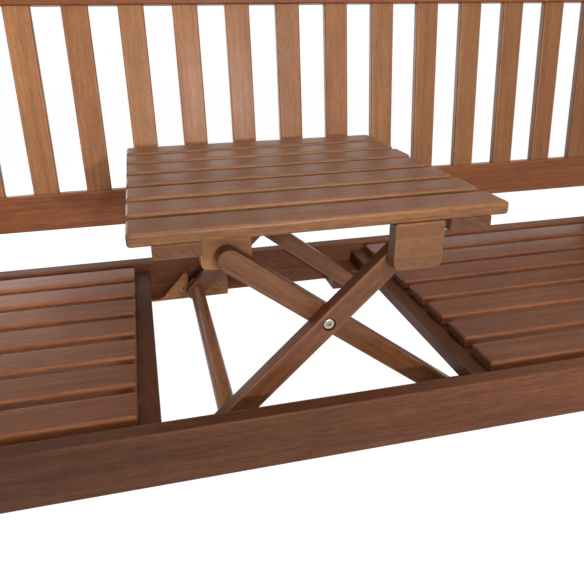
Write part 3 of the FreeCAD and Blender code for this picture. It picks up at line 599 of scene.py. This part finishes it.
# Bolts and screws: plated steel with hexagon sockets, dulled by handling and a little weather. All heads but
# those of the lower pivot bolts sit in counterbores. A crossing bolt's nut is a sleeve with the same head,
# and washers part the inner legs from their blocks.
HEAD_RADIUS = 6.4 * MM
SHANK = 4 * MM
CROWN_SINK = 0.5 * MM
TURN_PLAY = 0.4 * MM
BOLT_HOLD = 30 * MM
LOW_HEAD = 4 * MM
WASHER_THICK = 3 * MM
WASHER_RADIUS = 9 * MM
CLEAT_SCREW = (4 * MM, 27 * MM, 2.1 * MM)
CLEAT_SCREW_SINK = 0.2 * MM
MOTTLES_PER_METRE = 700.0
STEEL_CREASE = np.radians(32)


def plated(name, shaded, clear):
    """Plated steel whose tint and gloss are mottled by handling, between a shaded and a clear tone, with a
    mottle every 1.4 mm."""
    metal = bpy.data.materials.new(name)
    metal.use_nodes = True
    tree = metal.node_tree
    shader = tree.nodes["Principled BSDF"]
    place = node(tree, "ShaderNodeTexCoord").outputs["Object"]
    mottle = node(tree, "ShaderNodeTexNoise", Vector=place, Scale=MOTTLES_PER_METRE,
                  Detail=2.0).outputs["Fac"]
    tint = node(tree, "ShaderNodeValToRGB", Fac=mottle)
    for element, position, colour in zip(tint.color_ramp.elements, (0.3, 0.7), (shaded, clear)):
        element.position = position
        element.color = linear(colour)
    tree.links.new(tint.outputs["Color"], shader.inputs["Base Color"])
    rough = node(tree, "ShaderNodeMapRange", Value=mottle, To_Min=0.28, To_Max=0.45).outputs[0]
    tree.links.new(rough, shader.inputs["Roughness"])
    shader.inputs["Metallic"].default_value = 1.0
    return metal


# Bolts have a grey shine. The screws of cleats and slats have the yellow one of chromated zinc.
nickel = plated("dull nickel plated steel", "#8F8578", "#BBB2A4")
brassy = plated("yellow zinc plated steel", "#6E5436", "#9A7C52")


def turned(profile, sides=36):
    """A closed solid of rings about x, each given by its height, radius and share of hexagon. A hexagon's
    radius at an angle is its corner's radius * cos 30 / cos(the angle from the middle of its side)."""
    height, radius, hexagon = np.asarray(profile, float).T
    angle = np.linspace(0, 2 * np.pi, sides, endpoint=False)
    from_side = np.mod(angle, np.pi / 3) - np.pi / 6
    rings = radius[:, None] * (1 - hexagon[:, None] * (1 - np.cos(np.pi / 6) / np.cos(from_side)))
    verts = np.empty((len(height), sides, 3))
    verts[..., 0] = height[:, None]
    verts[..., 1] = rings * np.cos(angle)
    verts[..., 2] = rings * np.sin(angle)
    return verts.reshape(-1, 3), tube_faces(len(height), sides)


def socket_bolt(radius, length, shank):
    """A low round head with a hexagon socket. Its crown stands at 0, and the shank's end at -length."""
    heights = np.array([-0.62, -0.62, -0.22, -0.08, -0.02, 0, -0.03, -0.05, -0.45])
    radii = np.array([0, 1, 1, 0.94, 0.82, 0.62, 0.5, 0.42, 0.4])
    radii[0] = shank / radius
    hexagon = [0, 0, 0, 0, 0, 0, 0, 1, 1]
    return turned([(-length, shank, 0), *zip(heights * radius, radii * radius, hexagon)])


def washer():
    """A flat disc with eased rims, its face at 0."""
    rim = 0.93 * WASHER_RADIUS
    return turned([(-WASHER_THICK, rim, 0), (-0.85 * WASHER_THICK, WASHER_RADIUS, 0),
                   (-0.15 * WASHER_THICK, WASHER_RADIUS, 0), (0, rim, 0)])


def fasteners(name, body, replaced, parts, metal=nickel):
    """One piece made of several bolts, screws or washers: each has a shape, its crown's place and its way
    in."""
    all_verts, all_faces, count = [], [], 0
    for (verts, faces), crown, inward in parts:
        side = UPWARD if abs(inward[2]) < 0.5 else ACROSS
        all_verts.append(crown + verts @ [-inward, side, np.cross(-inward, side)])
        all_faces += [[corner + count for corner in face] for face in faces]
        count += len(verts)
    mesh = bpy.data.meshes.new(name)
    mesh.from_pydata(np.concatenate(all_verts), [], all_faces)
    mesh.polygons.foreach_set("use_smooth", np.ones(len(mesh.polygons), bool))
    mesh.set_sharp_from_angle(angle=STEEL_CREASE)
    mesh.materials.append(metal)
    piece = bpy.data.objects.new(name, mesh)
    bpy.context.scene.collection.objects.link(piece)
    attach(piece, body)
    if replaced:
        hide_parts(replaced)


at_crossing, at_upper, at_lower = [], [], []
for end, inward in (("front", DEPTHWISE), ("rear", -DEPTHWISE)):
    outer_faces = sorted((place.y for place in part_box(f"outer_leg_{end}")), key=lambda y: y * inward[1])
    inner_faces = sorted((place.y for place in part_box(f"inner_leg_{end}")), key=lambda y: y * inward[1])
    crossing_axis, upper_axis, lower_axis = (pivot * (1, 0, 1)
                                             for pivot in (crossing, upper_pivot, lower_pivot))
    grip = abs(inner_faces[1] - outer_faces[0])
    for face, way in ((outer_faces[0], inward), (inner_faces[1], -inward)):
        bolt = socket_bolt(HEAD_RADIUS, grip / 2 - CROWN_SINK, SHANK)
        at_crossing.append((bolt, crossing_axis + DEPTHWISE * face + way * CROWN_SINK, way))
    bolt = socket_bolt(HEAD_RADIUS, BOLT_HOLD, SHANK)
    at_upper.append((bolt, upper_axis + DEPTHWISE * outer_faces[1] - inward * CROWN_SINK, -inward))
    crown = lower_axis + DEPTHWISE * inner_faces[1] + inward * (TURN_PLAY + LOW_HEAD)
    leg_thick = abs(inner_faces[1] - inner_faces[0])
    length = LOW_HEAD + 2 * TURN_PLAY + leg_thick + WASHER_THICK + BOLT_HOLD
    at_lower.append((socket_bolt(HEAD_RADIUS, length, SHANK), crown, -inward))
    at_lower.append((washer(), lower_axis + DEPTHWISE * inner_faces[0] - inward * TURN_PLAY, -inward))
fasteners("crossing_bolts_steel", "inner_legs", "crossing_bolts", at_crossing)
fasteners("upper_pivot_bolts_steel", "table_top", "upper_pivot_bolts", at_upper)
fasteners("lower_pivot_bolts_steel", "bench", "lower_pivot_bolts", at_lower)
screw = socket_bolt(*CLEAT_SCREW)
fasteners("cleat_screws_steel", "bench", "cleat_screws",
          [(screw, mouth + inward * CLEAT_SCREW_SINK, inward) for mouth, inward in cleat_heads], metal=brassy)
bolt = socket_bolt(HEAD_RADIUS, BOLT_HOLD, SHANK)
fasteners("frame_bolts_steel", "bench", None,
          [(bolt, mouth + inward * CROWN_SINK, inward) for mouth, inward in frame_heads])


# Slat screws: each slat is held from below by a screw through every bearer or batten that it crosses. They
# are of the same yellow zinc plated steel, and their low heads stand just proud of the wood.
SCREW_STANDS = 1.2 * MM
SLAT_SCREW = (4 * MM, 20 * MM, 2 * MM)


def slat_screws(carrier, slats, body):
    """A row of low screw heads under a bearer or a batten, one below the middle of each slat's crossing."""
    low, high = (np.array(place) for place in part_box(carrier))
    parts = []
    for slat in slats:
        slat_low, slat_high = (np.array(place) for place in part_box(slat))
        middle = (np.maximum(low, slat_low) + np.minimum(high, slat_high)) / 2
        crown = np.array([middle[0], middle[1], low[2] - SCREW_STANDS])
        parts.append((socket_bolt(*SLAT_SCREW), crown, UPWARD))
    fasteners(f"{carrier}_slat_screws", body, None, parts, metal=brassy)


for side in ("left", "right"):
    slats = [f"seat_slat_{side}_{number}" for number in range(1, 8)]
    slat_screws(f"inner_bearer_{side}", slats, "bench")
    slat_screws(f"outer_bearer_{side}", slats, "bench")
    slat_screws(f"table_batten_{side}", [f"table_slat_{number}" for number in range(1, 8)], "table_top")


# Floor, world and lamps: a white studio. The key lamp stands high at the front right, and a small low one
# reaches in under the table. Soft ones at the left, above and behind, and the white world, fill the shadows.
FLOOR_HALF = 8.0
FLOOR_GLOW = 1.43
GLOW_SHARE = 0.6
AMBIENT = 0.34
floor_mesh = bpy.data.meshes.new("studio_floor")
floor_mesh.from_pydata([(-FLOOR_HALF, -FLOOR_HALF, 0), (FLOOR_HALF, -FLOOR_HALF, 0),
                        (FLOOR_HALF, FLOOR_HALF, 0), (-FLOOR_HALF, FLOOR_HALF, 0)], [], [(0, 1, 2, 3)])
studio_floor = bpy.data.objects.new("studio_floor", floor_mesh)
bpy.context.scene.collection.objects.link(studio_floor)


def seen_rays(tree):
    """1 for rays that the eye, a gloss or a clear thing sends out, and 0 for the rest."""
    rays = node(tree, "ShaderNodeLightPath").outputs
    seen = node(tree, "ShaderNodeMath", {"operation": "MAXIMUM"}, _0=rays["Is Camera Ray"],
                _1=rays["Is Glossy Ray"]).outputs[0]
    return node(tree, "ShaderNodeMath", {"operation": "MAXIMUM"}, _0=seen,
                _1=rays["Is Transmission Ray"]).outputs[0]


floor_paint = bpy.data.materials.new("white studio floor")
floor_paint.use_nodes = True
tree = floor_paint.node_tree
shader = tree.nodes["Principled BSDF"]
shader.inputs["Base Color"].default_value = linear("#F4F3F1")
shader.inputs["Roughness"].default_value = 0.9
shader.inputs["Specular IOR Level"].default_value = 0.0
share = node(tree, "ShaderNodeMath", {"operation": "MULTIPLY"}, _0=seen_rays(tree), _1=GLOW_SHARE).outputs[0]
glow = node(tree, "ShaderNodeEmission", Color=(1, 1, 1, 1), Strength=FLOOR_GLOW).outputs[0]
both = node(tree, "ShaderNodeMixShader", _0=share, _1=shader.outputs[0], _2=glow).outputs[0]
tree.links.new(both, tree.nodes["Material Output"].inputs["Surface"])
floor_mesh.materials.append(floor_paint)

world = bpy.data.worlds.new("white studio")
bpy.context.scene.world = world
world.use_nodes = True
tree = world.node_tree
level = node(tree, "ShaderNodeMapRange", Value=seen_rays(tree), To_Min=AMBIENT, To_Max=1.0).outputs[0]
tree.links.new(level, tree.nodes["Background"].inputs["Strength"])
tree.nodes["Background"].inputs["Color"].default_value = (1, 1, 1, 1)


def aimed(x_axis, y_axis, z_axis, place):
    """The matrix of a thing with these three axes at this place."""
    matrix = np.eye(4)
    matrix[:3] = np.stack([x_axis, y_axis, z_axis, place], 1)
    return Matrix(matrix.tolist())


def lamp(name, place, target, size, power):
    """A square soft box of that size in metres, aimed at a point."""
    light = bpy.data.lights.new(name, "AREA")
    light.size = size
    light.energy = power
    holder = bpy.data.objects.new(name, light)
    holder.visible_camera = False
    bpy.context.scene.collection.objects.link(holder)
    away = np.array(place) - np.array(target)
    away /= np.linalg.norm(away)
    side = np.cross(UPWARD, away)
    side /= np.linalg.norm(side)
    holder.matrix_world = aimed(side, np.cross(away, side), away, place)


lamp("key_box", (0.70, -2.10, 2.05), (0, 0, 0.5), 0.28, 19)
lamp("low_box", (0.22, -1.80, 0.86), (0, 0, 0.5), 0.1, 11)
lamp("left_box", (-2.0, -0.9, 0.9), (0, 0, 0.5), 0.8, 12)
lamp("top_box", (0, -0.2, 2.8), (0, 0, 0.5), 1.6, 11)
lamp("rear_box", (-1.2, 2.6, 0.6), (0, 0, 0.5), 0.9, 12)


# Camera: the photograph's place and direction, close in front of the bay and looking down to the right. The
# focal length was found in pixels of a picture 584 pixels wide.
CAMERA = np.array([-166.5, -769.8, 802.5]) * MM
YAW, PITCH, ROLL = 13.64, 24.4, -0.74
FOCAL_PIXELS = 598.0
IMAGE_PIXELS = 584
SENSOR = 36.0
yaw, pitch, roll = np.radians([YAW, PITCH, ROLL])
level_ahead = np.array([np.sin(yaw), np.cos(yaw), 0])
ahead = level_ahead * np.cos(pitch) - UPWARD * np.sin(pitch)
upright = UPWARD * np.cos(pitch) + level_ahead * np.sin(pitch)
right = np.array([np.cos(yaw), -np.sin(yaw), 0])
right, upright = right * np.cos(roll) + upright * np.sin(roll), upright * np.cos(roll) - right * np.sin(roll)
camera_data = bpy.data.cameras.new("photo_camera")
camera_data.sensor_width = SENSOR
camera_data.lens = FOCAL_PIXELS / IMAGE_PIXELS * SENSOR
camera_data.clip_start = 0.02
camera = bpy.data.objects.new("photo_camera", camera_data)
bpy.context.scene.collection.objects.link(camera)
camera.matrix_world = aimed(right, upright, -ahead, CAMERA)
bpy.context.scene.camera = camera
bpy.context.scene.view_settings.view_transform = "Standard"
